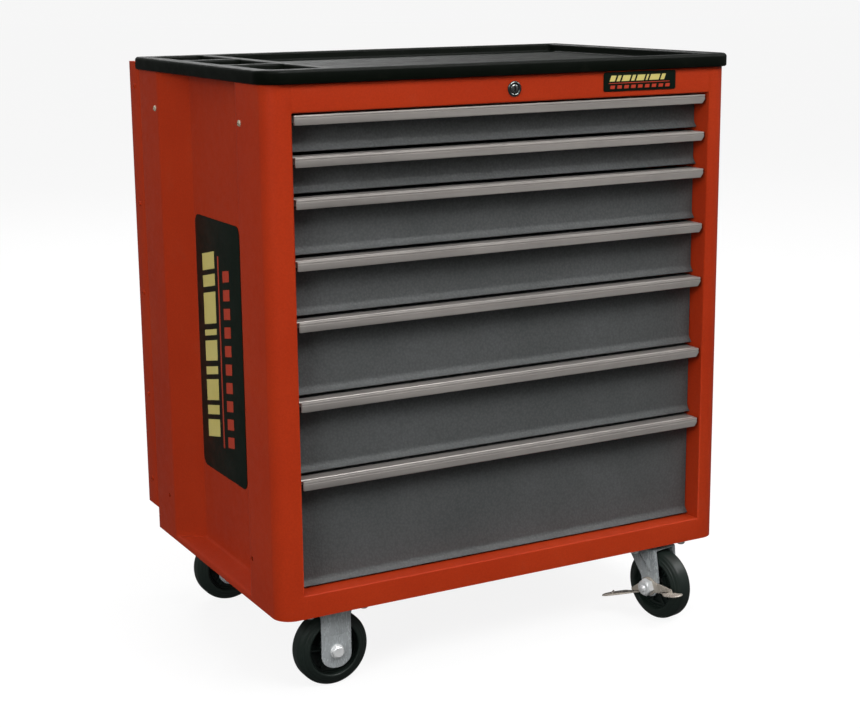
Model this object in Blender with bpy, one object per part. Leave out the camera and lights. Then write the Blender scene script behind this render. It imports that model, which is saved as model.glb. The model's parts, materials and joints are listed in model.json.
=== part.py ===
# Rolling tool cabinet: folded steel body, seven drawers on steel slides,
# moulded tray worktop, two rigid and two braked swivel casters.
#
# Units below are millimetres in cabinet coordinates:
#   x  to the right, 0 at the middle of the cabinet
#   y  to the back, 0 at the front plane of the body
#   z  up, 0 at the bottom edge of the body
# The frame of the finished part is in metres, +Z up, with its origin on the
# floor in the middle of the overall bounding box.
import math

import bmesh
import bpy
from mathutils import Matrix, Vector

MM = 0.001

# ---------------------------------------------------------------- dimensions
GAP = 0.3                     # clearance between touching pieces

# body
BODY_HALF_W = 340.0
BODY_D = 440.0                # depth of the side panels
BODY_H = 665.0
SHEET = 1.2                   # body sheet thickness
CORNER_R = 24.0               # front vertical corners
STILE_IN = 306.0              # half width of the drawer opening
JAMB_D = 45.0                 # depth of the opening's side returns
RECESS = 25.0                 # depth of the pressed field in each side
RECESS_Y = (92.0, 150.0, 312.0, 370.0)
RECESS_Z = (8.0, 18.0)
FRONT_SET = 29.0              # drawer fronts sit this far behind the body front
SILL_Z = 31.0                 # bottom of the drawer opening
COVER_D = 42.0                # rear cover, a shallow pan behind the side panels
COVER_Z = (30.0, 675.0)
BASE_T = 1.5
BASE_RIM = 7.5

# worktop tray
TOP_OVER = 6.0                # overhang at the front and the sides
TOP_Z = (665.3, 682.5)
TOP_R = 30.0
POCKET_FLOOR = 670.5
POCKET_R = 9.0
POCKETS = (                   # x0, x1, y0, y1
    (-239.0, 324.0, 14.0, 426.0),
    (-326.0, -255.0, 14.0, 142.0),
    (-326.0, -255.0, 155.0, 283.0),
    (-326.0, -255.0, 296.0, 424.0),
)

# drawers, from the top down
MODULES = (50.0, 50.0, 75.0, 75.0, 100.0, 100.0, 150.0)
BOX_TOP = {50.0: 41.0, 75.0: 64.0, 100.0: 88.0, 150.0: 136.0}
DRAWER_HALF_W = 305.0
BOX_HALF_W = 289.5
BOX_Y = (29.6, 431.0)
BOX_WALL = 1.0
BOX_LIFT = 5.0                # underside of a box above its module's bottom
FRONT_SHEET = 1.2
FLARE_H = 10.0                # bottom edge of a front curls forward
FLARE_OUT = 6.0
HANDLE_HALF_W = 304.2
HANDLE_FRONT = 2.0
HANDLE_T = 1.9
HANDLE_LIP = 12.0
RUNNER_Z = 24.0               # slide axis above the module's bottom
RUNNER_HALF = 13.2
RUNNER_X = 299.2
RUNNER_Y = (52.0, 426.0)
RAIL_HALF = 15.2
RAIL_X = (294.0, 304.0)
RAIL_Y = (48.0, 428.0)
RAIL_T = 1.3

# uprights that carry the slides
UPRIGHT_X = (304.3, 337.5)
UPRIGHT_T = 1.5
UPRIGHT_Z = (9.0, 655.0)
UPRIGHT_FRONT_Y = (48.0, 88.0)
UPRIGHT_REAR_Y = (374.0, 430.0)

# lock
LOCK_Z = 648.0
LOCK_BORE = 6.3
LOCK_BODY_R = 8.7
LOCK_FLANGE_R = 10.0
LOCK_ROD_R = 2.5
LOCK_ARM = 14.0
LOCK_BAR_TOP = 640.5
LOCK_BAR_Y = (433.0, 435.0)
LOCK_TRAVEL = 8.0

# casters
FLOOR = -112.0                # floor below the body bottom
WHEEL_R = 50.0
WHEEL_HALF_W = 16.0
AXLE_Z = FLOOR + WHEEL_R
AXLE_R = 5.0
BORE_R = 5.3
LEG_IN = 18.8
LEG_T = 2.8
PLATE_T = 3.0
RIGID = (("front_left", -252.0, 46.0), ("rear_left", -252.0, 400.0))
SWIVEL = (("front_right", 250.0, 48.0), ("rear_right", 250.0, 396.0))
TRAIL = 30.0
SWIVEL_TURN = 11.0            # degrees, how far the swivel casters stand turned
BRAKE_TILT = -13.0            # degrees, released brake lever
SEG = 28

# the frame origin lies this far behind the body front
ORIGIN_Y = 213.845

# ------------------------------------------------------------------- helpers


def world(p):
    return Vector((p[0] * MM, (p[1] - ORIGIN_Y) * MM, (p[2] - FLOOR) * MM))


def outward(bm):
    """Point every face out of the solid."""
    bmesh.ops.recalc_face_normals(bm, faces=bm.faces)
    if bm.calc_volume(signed=True) < 0.0:
        bmesh.ops.reverse_faces(bm, faces=bm.faces)
    return bm


for old in list(bpy.data.objects):
    bpy.data.objects.remove(old, do_unlink=True)


def material(name, color, rough, metal):
    m = bpy.data.materials.new(name)
    m.use_nodes = True
    b = m.node_tree.nodes["Principled BSDF"]
    b.inputs["Base Color"].default_value = (color[0], color[1], color[2], 1.0)
    b.inputs["Roughness"].default_value = rough
    b.inputs["Metallic"].default_value = metal
    return m


RED = (0.42, 0.045, 0.016)
GREY = (0.035, 0.042, 0.048)
BLACK = (0.012, 0.014, 0.014)
ALU = (0.36, 0.33, 0.31)
STEEL = (0.45, 0.46, 0.47)


def pivot(name, p, parent=None):
    e = bpy.data.objects.new(name, None)
    bpy.context.scene.collection.objects.link(e)
    e.empty_display_size = 0.02
    if parent is not None:
        e.parent = parent
        e.location = world(p) - parent.matrix_world.translation
    else:
        e.location = world(p)
    bpy.context.view_layer.update()
    return e


def add(name, bm, mat, parent, origin=(0.0, 0.0, 0.0), smooth=None):
    """One named closed solid; its own origin is placed at `origin`."""
    o = world(origin)
    for v in bm.verts:
        v.co = world(v.co) - o
    outward(bm)
    me = bpy.data.meshes.new(name)
    bm.to_mesh(me)
    bm.free()
    ob = bpy.data.objects.new(name, me)
    bpy.context.scene.collection.objects.link(ob)
    ob.data.materials.append(mat)
    ob.parent = parent
    ob.location = o - parent.matrix_world.translation
    if smooth is not None:
        me.shade_smooth()
        me.set_sharp_from_angle(angle=math.radians(smooth))
    bpy.context.view_layer.update()
    return ob


def loft(sections, cap=True, ring=False):
    """Skin closed loops of equal length; cap the two ends."""
    bm = bmesh.new()
    rows = [[bm.verts.new(p) for p in s] for s in sections]
    n = len(rows[0])
    pairs = list(zip(rows[:-1], rows[1:]))
    if ring:
        pairs.append((rows[-1], rows[0]))
    for a, b in pairs:
        for i in range(n):
            j = (i + 1) % n
            bm.faces.new((a[i], a[j], b[j], b[i]))
    if cap and not ring:
        bm.faces.new(rows[0])
        bm.faces.new(rows[-1])
    return outward(bm)


def put(axis, a, b, t):
    if axis == "x":
        return (t, a, b)
    if axis == "y":
        return (a, t, b)
    return (a, b, t)


def prism(pts, axis, lo, hi):
    """Extrude a polygon given in the plane across `axis`."""
    return loft([[put(axis, p[0], p[1], t) for p in pts] for t in (lo, hi)])


def box(x0, x1, y0, y1, z0, z1):
    return prism([(x0, y0), (x1, y0), (x1, y1), (x0, y1)], "z", z0, z1)


def disc(axis, ca, cb, r, lo, hi, seg=SEG, phase=0.0):
    pts = [(ca + r * math.cos(phase + 2 * math.pi * i / seg),
            cb + r * math.sin(phase + 2 * math.pi * i / seg)) for i in range(seg)]
    return prism(pts, axis, lo, hi)


def turned(profile, seg=SEG):
    """Revolve a closed (radius, height) outline about Z."""
    secs = []
    for i in range(seg):
        a = 2 * math.pi * i / seg
        secs.append([(r * math.cos(a), r * math.sin(a), h) for r, h in profile])
    return loft(secs, ring=True)


def offset(path, d, closed=False):
    """Mitred offset of a polyline to its left."""
    n = len(path)
    out = []
    for i in range(n):
        p = Vector(path[i])
        if closed:
            a, b = Vector(path[i - 1]), Vector(path[(i + 1) % n])
        else:
            a = Vector(path[i - 1]) if i > 0 else None
            b = Vector(path[i + 1]) if i < n - 1 else None
        ns = []
        for u, v in ((a, p), (p, b)):
            if u is None or v is None:
                continue
            e = (v - u).normalized()
            ns.append(Vector((-e.y, e.x)))
        if len(ns) == 1:
            out.append(tuple(p + ns[0] * d))
        else:
            m = (ns[0] + ns[1])
            out.append(tuple(p + m * (d * 2.0 / m.length_squared)))
    return out


def sheet(path, t):
    return list(path) + list(reversed(offset(path, t)))


def rounded(x0, x1, y0, y1, r, seg=3):
    """Rectangle with four radii (r may be a list, from x0,y0 round)."""
    rs = r if isinstance(r, (list, tuple)) else (r, r, r, r)
    out = []
    for (cx, cy, sx, sy, a0), rr in zip(
            ((x0, y0, 1, 1, 180.0), (x1, y0, -1, 1, 270.0),
             (x1, y1, -1, -1, 0.0), (x0, y1, 1, -1, 90.0)), rs):
        if rr <= 0.0:
            out.append((cx, cy))
            continue
        mx, my = cx + sx * rr, cy + sy * rr
        for i in range(seg + 1):
            a = math.radians(a0 + 90.0 * i / seg)
            out.append((mx + rr * math.cos(a), my + rr * math.sin(a)))
    return out


def pan(outline, axis, lo, hi, floor, t):
    """Open tray: floor at `lo`, rim at `hi` (hi may lie below lo)."""
    inner = offset(outline, t, closed=True)
    return loft([[put(axis, p[0], p[1], k) for p in s] for s, k in
                 ((outline, lo), (outline, hi), (inner, hi),
                  (inner, lo + math.copysign(floor, hi - lo)))])


def combine(a, b, op="UNION"):
    """Boolean of two closed bmeshes, both consumed."""
    obs = []
    for k, bm in (("a", a), ("b", b)):
        outward(bm)
        me = bpy.data.meshes.new("tmp_" + k)
        bm.to_mesh(me)
        bm.free()
        ob = bpy.data.objects.new("tmp_" + k, me)
        bpy.context.scene.collection.objects.link(ob)
        obs.append(ob)
    mod = obs[0].modifiers.new("cut", "BOOLEAN")
    mod.operation = op
    mod.solver = "EXACT"
    mod.object = obs[1]
    dg = bpy.context.evaluated_depsgraph_get()
    dg.update()
    res = bmesh.new()
    ev = obs[0].evaluated_get(dg)
    me = ev.to_mesh()
    res.from_mesh(me)
    ev.to_mesh_clear()
    for ob in obs:
        md = ob.data
        bpy.data.objects.remove(ob, do_unlink=True)
        bpy.data.meshes.remove(md)
    bmesh.ops.dissolve_limit(res, angle_limit=math.radians(0.2),
                             verts=res.verts, edges=res.edges)
    return res


def union(*parts):
    res = parts[0]
    for p in parts[1:]:
        res = combine(res, p, "UNION")
    return res


def cut(a, *cutters):
    for c in cutters:
        a = combine(a, c, "DIFFERENCE")
    return a


def mirror_x(bm):
    for v in bm.verts:
        v.co.x = -v.co.x
    bmesh.ops.reverse_faces(bm, faces=bm.faces)
    return bm


def move(bm, m):
    bm.transform(m)
    return bm


# ------------------------------------------------------------ fixed structure
root = pivot("cabinet", (0.0, ORIGIN_Y, FLOOR))

body_red = material("body_red", RED, 0.42, 0.0)


def side_panel():
    arc = []
    for i in range(1, 7):
        a = math.radians(180.0 + 90.0 * i / 6)
        arc.append((-BODY_HALF_W + CORNER_R + CORNER_R * math.cos(a),
                    CORNER_R + CORNER_R * math.sin(a)))
    secs = []
    for z, r in ((0.0, 0.0), (RECESS_Z[0], 0.0), (RECESS_Z[1], RECESS), (BODY_H, RECESS)):
        y0, y1, y2, y3 = RECESS_Y
        if r == 0.0:
            y1, y2 = y0 + 3.0, y3 - 3.0
        x = -BODY_HALF_W
        path = [(x + 1.5, BODY_D + 30.0), (x + 1.5, BODY_D), (x, BODY_D),
                (x, y3), (x + r, y2), (x + r, y1), (x, y0), (x, CORNER_R)]
        path += arc + [(-STILE_IN, 0.0), (-STILE_IN, JAMB_D)]
        secs.append([(p[0], p[1], z) for p in sheet(path, SHEET)])
    bm = loft(secs)
    # clear the base panel at the foot of the jamb, and the cover's lower edge
    bm = cut(bm, box(-322.0, -300.0, SHEET, 60.0, -5.0, BASE_RIM + 0.5),
             box(-345.0, -330.0, BODY_D + 0.05, BODY_D + 60.0, -5.0, COVER_Z[0] + SHEET + GAP))
    return bm


add("left_side_panel", side_panel(), body_red, root)
add("right_side_panel", mirror_x(side_panel()), material("body_red_right", RED, 0.42, 0.0), root)

x_rail = STILE_IN - GAP
top_z0 = BODY_H - 34.0
bm = prism(sheet([(22.0, BODY_H), (0.0, BODY_H), (0.0, top_z0), (FRONT_SET, top_z0),
                  (FRONT_SET, top_z0 + 9.0)], SHEET), "x", -x_rail, x_rail)
bm = cut(bm, disc("y", 0.0, LOCK_Z, LOCK_BODY_R + GAP, -5.0, 5.0, 24))
add("top_rail", bm, material("rail_red", RED, 0.42, 0.0), root)

bm = prism(sheet([(FRONT_SET, SILL_Z - 11.0), (FRONT_SET, SILL_Z), (0.0, SILL_Z), (0.0, 0.0)],
                 SHEET), "x", -x_rail, x_rail)
add("bottom_rail", bm, material("sill_red", RED, 0.42, 0.0), root)

outline = rounded(-BODY_HALF_W + 1.6, BODY_HALF_W - 1.6, 1.6, BODY_D - 1.6, (23.0, 23.0, 0.0, 0.0), 4)
add("base_panel", pan(outline, "z", 0.0, BASE_RIM, BASE_T, BASE_T),
    material("base_red", RED, 0.5, 0.0), root)

back_y = BODY_D + COVER_D
outline = [(-BODY_HALF_W, COVER_Z[0]), (BODY_HALF_W, COVER_Z[0]),
           (BODY_HALF_W, COVER_Z[1]), (-BODY_HALF_W, COVER_Z[1])]
add("rear_cover", pan(outline, "y", back_y, BODY_D + GAP, SHEET, SHEET),
    material("cover_red", RED, 0.42, 0.0), root)

outline = rounded(-BODY_HALF_W - TOP_OVER, BODY_HALF_W + TOP_OVER, -TOP_OVER, BODY_D - GAP,
                  (TOP_R, TOP_R, 0.0, 0.0), 6)
bm = prism(outline, "z", *TOP_Z)
for x0, x1, y0, y1 in POCKETS:
    bm = cut(bm, prism(rounded(x0, x1, y0, y1, POCKET_R, 3), "z", POCKET_FLOOR, TOP_Z[1] + 5.0))
add("worktop", bm, material("tray_black", BLACK, 0.35, 0.0), root, smooth=35)

zinc = material("slide_zinc", STEEL, 0.35, 0.9)
for where, (y0, y1) in (("front", UPRIGHT_FRONT_Y), ("rear", UPRIGHT_REAR_Y)):
    for side in ("left", "right"):
        path = [(-UPRIGHT_X[1], y0), (-UPRIGHT_X[0], y0), (-UPRIGHT_X[0], y1), (-UPRIGHT_X[1], y1)]
        bm = prism(sheet(path, UPRIGHT_T), "z", *UPRIGHT_Z)
        if side == "right":
            bm = mirror_x(bm)
        add("%s_%s_upright" % (where, side), bm,
            material("upright_%s_%s" % (where, side), RED, 0.5, 0.0), root)

# ------------------------------------------------------------------ drawers
z_top = top_z0
for k, h in enumerate(MODULES, 1):
    zb = z_top - h
    zr = zb + RUNNER_Z
    slide = pivot("drawer_%d_slide" % k, (0.0, FRONT_SET, zr), root)

    # front: folded top edge, flat field, bottom edge curling forward
    front = [(FRONT_SET + 12.0, z_top - 2.5), (FRONT_SET, z_top - 2.5),
             (FRONT_SET, zb + 3.0 + FLARE_H)]
    for i in range(1, 5):
        s = i / 4.0
        front.append((FRONT_SET - FLARE_OUT * s * s, zb + 3.0 + FLARE_H * (1.0 - s)))
    parts = [prism(sheet(front, FRONT_SHEET), "x", -DRAWER_HALF_W, DRAWER_HALF_W)]
    ring = [(-BOX_HALF_W, BOX_Y[0]), (BOX_HALF_W, BOX_Y[0]),
            (BOX_HALF_W, BOX_Y[1]), (-BOX_HALF_W, BOX_Y[1])]
    parts.append(pan(ring, "z", zb + BOX_LIFT, zb + BOX_TOP[h], BOX_WALL, BOX_WALL))
    for sx in (-1.0, 1.0):
        c = sheet([(-BOX_HALF_W + 0.5, zr + RUNNER_HALF), (-RUNNER_X, zr + RUNNER_HALF),
                   (-RUNNER_X, zr - RUNNER_HALF), (-BOX_HALF_W + 0.5, zr - RUNNER_HALF)], 1.2)
        r = prism(c, "y", *RUNNER_Y)
        parts.append(mirror_x(r) if sx > 0 else r)
    add("drawer_%d" % k, union(*parts), material("drawer_grey_%d" % k, GREY, 0.45, 0.0),
        slide, (0.0, FRONT_SET, zr))

    # grip: aluminium section with a top land, a grooved edge and a hanging lip
    y0, y1, zt = HANDLE_FRONT, FRONT_SET - GAP, z_top - 2.5
    t = HANDLE_T
    grip = [(y1, zt), (y0 + 5.2, zt), (y0 + 4.7, zt - 0.6), (y0 + 4.0, zt - 0.6), (y0 + 3.5, zt),
            (y0 + 0.8, zt), (y0, zt - 0.8), (y0, zt - HANDLE_LIP + 0.6), (y0 + 0.6, zt - HANDLE_LIP),
            (y0 + 2.6, zt - HANDLE_LIP), (y0 + 2.6, zt - HANDLE_LIP + 1.4), (y0 + t, zt - HANDLE_LIP + 2.0),
            (y0 + t, zt - t), (y1 - t, zt - t), (y1 - t, zt - 11.0), (y1, zt - 11.0)]
    add("drawer_%d_handle" % k, prism(grip, "x", -HANDLE_HALF_W, HANDLE_HALF_W),
        material("grip_alu_%d" % k, ALU, 0.38, 0.85), slide, (0.0, FRONT_SET, zt))

    for side in ("left", "right"):
        c = sheet([(-RAIL_X[0], zr + RAIL_HALF), (-RAIL_X[1], zr + RAIL_HALF),
                   (-RAIL_X[1], zr - RAIL_HALF), (-RAIL_X[0], zr - RAIL_HALF)], RAIL_T)
        bm = prism(c, "y", *RAIL_Y)
        if side == "right":
            bm = mirror_x(bm)
        add("drawer_%d_rail_%s" % (k, side), bm, zinc, root)
    z_top = zb

# --------------------------------------------------------------------- lock
lock_chrome = material("lock_chrome", (0.6, 0.6, 0.6), 0.18, 1.0)
prof = [(LOCK_BORE, -2.2), (LOCK_FLANGE_R - 0.8, -2.2), (LOCK_FLANGE_R, -1.4),
        (LOCK_FLANGE_R, -GAP), (LOCK_BODY_R, -GAP), (LOCK_BODY_R, 24.0), (LOCK_BORE, 24.0)]
at_lock = Matrix.Translation((0.0, 0.0, LOCK_Z)) @ Matrix.Rotation(math.radians(-90.0), 4, "X")
# after this turn the profile's height runs along +y
add("lock_cylinder", move(turned(prof, 24), at_lock), lock_chrome, root, smooth=35)

lock = pivot("lock_turn", (0.0, 0.0, LOCK_Z), root)
plug_r = LOCK_BORE - GAP
prof = [(0.0, -2.4), (plug_r - 0.5, -2.4), (plug_r, -1.9), (plug_r, 25.0), (0.0, 25.0)]
plug = disc("y", 0.0, LOCK_Z, plug_r, -2.0, 25.0, 24)
plug = cut(plug, box(-0.9, 0.9, -5.0, 4.0, LOCK_Z - 4.2, LOCK_Z + 4.2))
plug = union(plug, disc("y", 0.0, LOCK_Z, LOCK_ROD_R, 24.0, 434.5, 10),
             prism([(-3.0, LOCK_Z - 3.0), (LOCK_ARM - 3.0, LOCK_Z - 3.0), (LOCK_ARM, LOCK_Z),
                    (LOCK_ARM - 3.0, LOCK_Z + 3.0), (-3.0, LOCK_Z + 3.0)], "y", 432.5, 435.5))
add("lock_plug", plug, material("plug_steel", (0.5, 0.5, 0.5), 0.25, 1.0), lock,
    (0.0, 0.0, LOCK_Z), smooth=35)

bar = pivot("lock_bar_slide", (0.0, LOCK_BAR_Y[0], LOCK_BAR_TOP), root)
pts = [(LOCK_BAR_Y[0], 14.0), (LOCK_BAR_Y[1], 14.0), (LOCK_BAR_Y[1], LOCK_BAR_TOP),
       (LOCK_BAR_Y[0], LOCK_BAR_TOP)]
z_top = top_z0
for h in MODULES:
    top = z_top - h + BOX_TOP[h]
    pts += [(LOCK_BAR_Y[0], top + 11.0), (424.0, top + 11.0), (424.0, top + 2.0),
            (426.0, top + 2.0), (426.0, top + 9.0), (LOCK_BAR_Y[0], top + 9.0)]
    z_top -= h
add("lock_bar", prism(pts, "x", -8.0, 8.0), material("bar_steel", STEEL, 0.4, 0.9), bar,
    (0.0, LOCK_BAR_Y[0], LOCK_BAR_TOP))

# -------------------------------------------------------- badge and side label
add("badge", prism(rounded(135.0, 250.0, 638.5, 663.5, 2.5, 2), "y", -1.1, -GAP),
    material("badge_dark", (0.01, 0.02, 0.015), 0.3, 0.0), root)
x = -BODY_HALF_W + RECESS
add("side_label", prism(rounded(154.0, 308.5, 128.0, 478.0, 12.0, 3), "x", x - GAP - 0.6, x - GAP),
    material("label_dark", (0.01, 0.02, 0.015), 0.3, 0.0), root)

# ------------------------------------------------------------------- casters
bracket_zinc = material("bracket_zinc", STEEL, 0.38, 0.9)
tyre_black = material("tyre_black", BLACK, 0.5, 0.0)
bolt_zinc = material("bolt_zinc", (0.6, 0.6, 0.58), 0.25, 0.95)
LEG_OUT = LEG_IN + LEG_T

wheel_profile = [
    (BORE_R, -17.5), (11.0, -17.5), (13.0, -5.0), (32.0, -5.0), (34.5, -13.5), (38.0, -15.0),
    (44.0, -16.0), (48.4, -13.5), (50.0, -8.5), (50.0, 8.5), (48.4, 13.5), (44.0, 16.0),
    (38.0, 15.0), (34.5, 13.5), (32.0, 5.0), (13.0, 5.0), (11.0, 17.5), (BORE_R, 17.5)]


def wheel():
    """A wheel turned about its own Z axis, centred on the origin."""
    return turned(wheel_profile)


def hex_bolt(head_r, head0, head1, nut_r, nut0, nut1, tip):
    """Bolt along Z: hexagon head at the low end, nut at the high end."""
    s = 6
    bm = union(disc("z", 0, 0, AXLE_R, head0 - 1.0, tip, 20),
               disc("z", 0, 0, head_r, head1, head0, s, math.radians(15.0)),
               disc("z", 0, 0, nut_r, nut0, nut1, s, math.radians(8.0)))
    return bm


for name, cx, cy in RIGID:
    # plate, two straight legs with rounded feet; the wheel rolls along x
    foot = [(cx - 21.0, -1.0), (cx + 21.0, -1.0), (cx + 21.0, AXLE_Z - 6.0)]
    for i in range(1, 9):
        a = math.radians(-i * 20.0)
        foot.append((cx + 21.0 * math.cos(a), AXLE_Z - 6.0 + 17.0 * math.sin(a)))
    foot.append((cx - 21.0, AXLE_Z - 6.0))
    plate = prism(rounded(cx - 47.5, cx + 47.5, cy - 33.5, cy + 33.5, 6.0, 2), "z", -GAP - PLATE_T, -GAP)
    legs = [prism([(a, min(b, -GAP - PLATE_T * 0.5)) for a, b in foot], "y", cy + lo, cy + hi)
            for lo, hi in ((-LEG_OUT, -LEG_IN), (LEG_IN, LEG_OUT))]
    bm = union(plate, *legs)
    bm = cut(bm, disc("y", cx, AXLE_Z, BORE_R, cy - 40.0, cy + 40.0, 20))
    add("caster_%s_bracket" % name, bm, bracket_zinc, root, (cx, cy, 0.0))

    axle = pivot("caster_%s_axle_line" % name, (cx, cy, AXLE_Z), root)
    lay = Matrix.Translation((cx, cy, AXLE_Z)) @ Matrix.Rotation(math.radians(90.0), 4, "X")
    # after this turn the wheel's own +Z points to the front
    add("caster_%s_wheel" % name, move(wheel(), lay), tyre_black, axle, (cx, cy, AXLE_Z), 35)
    bolt = hex_bolt(8.6, -LEG_OUT - GAP, -LEG_OUT - GAP - 6.4, 8.6, LEG_OUT + GAP, LEG_OUT + GAP + 6.4,
                    LEG_OUT + GAP + 9.0)
    # the bolt's head faces the front
    add("caster_%s_axle" % name, move(bolt, lay @ Matrix.Rotation(math.pi, 4, "X")), bolt_zinc, root,
        (cx, cy, AXLE_Z))

for name, cx, cy in SWIVEL:
    hub = Matrix.Translation((cx, cy, 0.0))
    z1 = -GAP - PLATE_T                       # underside of the top plate
    z2 = z1 - 3.7                             # underside of the bearing ring
    z3 = z2 - GAP                             # top of the fork
    plate = union(prism(rounded(-47.5, 47.5, -40.0, 40.0, 6.0, 2), "z", z1, -GAP),
                  cut(disc("z", 0, 0, 24.0, z2, z1 + 1.0, 24),
                      disc("z", 0, 0, 8.0, z2 - 1.0, z1, 20)))
    add("caster_%s_plate" % name, move(plate, hub), bracket_zinc, root, (cx, cy, 0.0))

    # fork frame: local x = trail direction, local y = outward along the axle
    # the wheel trails towards the front, turned a little
    turn = Matrix.Translation((cx, cy, 0.0)) @ Matrix.Rotation(math.radians(-90.0 + SWIVEL_TURN), 4, "Z") \
        @ Matrix.Scale(-1.0, 4, (0.0, 1.0, 0.0))
    swivel = pivot("caster_%s_swivel_axis" % name, (cx, cy, z3), root)
    leg = [(-16.0, z3 - 0.2), (38.0, z3 - 0.2), (39.5, -22.0), (43.5, -46.0), (45.0, AXLE_Z)]
    for i in range(1, 6):
        a = math.radians(-180.0 * i / 6)
        leg.append((TRAIL + 15.0 * math.cos(a), AXLE_Z + 15.0 * math.sin(a)))
    leg += [(TRAIL - 15.0, AXLE_Z), (14.0, -50.0), (-9.0, -20.0), (-16.0, -13.0)]
    fork = union(prism(rounded(-20.0, 38.5, -LEG_OUT, LEG_OUT, 5.0, 2), "z", z3 - 2.5, z3),
                 prism(leg, "y", -LEG_OUT, -LEG_IN), prism(leg, "y", LEG_IN, LEG_OUT),
                 disc("z", 0, 0, 7.6, z3 - 1.0, z1 - GAP, 20))
    fork = cut(fork, disc("y", TRAIL, AXLE_Z, BORE_R, -40.0, 40.0, 20))
    add("caster_%s_fork" % name, move(fork, turn), bracket_zinc, swivel, (cx, cy, z3))

    centre = turn @ Vector((TRAIL, 0.0, AXLE_Z))
    axle = pivot("caster_%s_axle_line" % name, centre, swivel)
    lay = turn @ Matrix.Translation((TRAIL, 0.0, AXLE_Z)) @ Matrix.Rotation(math.radians(-90.0), 4, "X")
    # the wheel's own +Z points outward along the axle (fork local +y)
    add("caster_%s_wheel" % name, move(wheel(), lay), tyre_black, axle, centre, 35)
    lever_in, lever_out = LEG_OUT + 0.4, LEG_OUT + 2.9
    bolt = hex_bolt(8.6, -LEG_OUT - GAP, -LEG_OUT - GAP - 6.4, 9.8, lever_out + 0.4, lever_out + 9.4,
                    lever_out + 13.0)
    add("caster_%s_axle" % name, move(bolt, lay), bolt_zinc, swivel, centre)

    # brake lever: a rocker on the axle with two treads turned outward
    rocker = [(-34.0, -9.0), (44.0, -9.0), (44.0, -3.0), (14.0, 6.0)]
    rocker += [(14.0 * math.cos(math.radians(a)), 14.0 * math.sin(math.radians(a)))
               for a in (40.0, 65.0, 90.0, 115.0, 140.0)]
    rocker += [(-14.0, 6.0), (-34.0, -3.0)]
    web = prism(rocker, "y", lever_in, lever_out)
    front_tread = prism([(20.0, lever_in + 0.4), (64.0, lever_in + 0.4), (68.0, lever_in + 8.0),
                         (66.0, lever_in + 15.0), (58.0, lever_in + 18.5), (42.0, lever_in + 17.0),
                         (24.0, lever_out - 0.4)], "z", -9.5, -7.3)
    rear_tread = prism([(-16.0, lever_in + 0.4), (-20.0, lever_out - 0.4), (-36.0, lever_in + 19.0),
                        (-52.0, lever_in + 33.0), (-62.0, lever_in + 36.0), (-66.0, lever_in + 28.0),
                        (-60.0, lever_in + 14.0), (-46.0, lever_in + 0.4)], "z", -9.5, -7.3)
    lever = union(web, front_tread, rear_tread)
    lever = cut(lever, disc("y", 0.0, 0.0, BORE_R, -5.0, 60.0, 20))
    brake = pivot("caster_%s_brake_axis" % name, centre, swivel)
    # released: the rear tread hangs lower
    tilt = turn @ Matrix.Translation((TRAIL, 0.0, AXLE_Z)) @ Matrix.Rotation(math.radians(BRAKE_TILT), 4, "Y")
    add("caster_%s_brake_lever" % name, move(lever, tilt), bolt_zinc, brake, centre)
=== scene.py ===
import json
import math

import bmesh
import bpy
from mathutils import Matrix, Vector

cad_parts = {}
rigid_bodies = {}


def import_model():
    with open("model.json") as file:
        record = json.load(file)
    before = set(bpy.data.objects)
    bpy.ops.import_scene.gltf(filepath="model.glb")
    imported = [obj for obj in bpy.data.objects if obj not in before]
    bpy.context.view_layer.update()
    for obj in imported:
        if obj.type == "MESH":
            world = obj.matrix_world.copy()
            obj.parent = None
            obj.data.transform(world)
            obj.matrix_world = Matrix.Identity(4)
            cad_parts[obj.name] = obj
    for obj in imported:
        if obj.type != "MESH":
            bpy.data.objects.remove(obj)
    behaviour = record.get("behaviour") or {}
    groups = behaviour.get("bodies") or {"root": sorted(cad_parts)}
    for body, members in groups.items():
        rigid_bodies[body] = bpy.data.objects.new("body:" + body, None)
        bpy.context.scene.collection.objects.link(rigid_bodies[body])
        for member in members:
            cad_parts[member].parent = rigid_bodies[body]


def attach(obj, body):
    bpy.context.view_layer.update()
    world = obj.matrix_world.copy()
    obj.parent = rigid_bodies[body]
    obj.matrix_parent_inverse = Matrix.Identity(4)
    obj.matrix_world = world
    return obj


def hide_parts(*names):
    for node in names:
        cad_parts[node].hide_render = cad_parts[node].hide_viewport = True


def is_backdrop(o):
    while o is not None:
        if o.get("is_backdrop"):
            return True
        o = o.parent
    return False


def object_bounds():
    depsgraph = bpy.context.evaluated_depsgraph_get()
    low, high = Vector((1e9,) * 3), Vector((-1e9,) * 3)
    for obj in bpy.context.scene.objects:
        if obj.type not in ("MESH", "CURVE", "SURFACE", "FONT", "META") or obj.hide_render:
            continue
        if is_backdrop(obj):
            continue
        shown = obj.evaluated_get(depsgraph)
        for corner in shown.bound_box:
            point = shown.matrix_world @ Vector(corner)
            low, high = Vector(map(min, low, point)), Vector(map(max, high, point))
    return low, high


for old in list(bpy.data.objects):
    bpy.data.objects.remove(old, do_unlink=True)
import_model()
bpy.context.view_layer.update()

# Geometry below is written in millimetres in cabinet coordinates: x from the
# middle, y from the front plane of the body, z from the body's bottom edge.
ORIGIN_Y, FLOOR = 213.845, -112.0


def W(p):
    return Vector((p[0] * 0.001, (p[1] - ORIGIN_Y) * 0.001, (p[2] - FLOOR) * 0.001))


# ------------------------------------------------------------- mesh helpers
def outward(bm):
    bmesh.ops.recalc_face_normals(bm, faces=bm.faces)
    if bm.calc_volume(signed=True) < 0.0:
        bmesh.ops.reverse_faces(bm, faces=bm.faces)
    return bm


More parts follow.
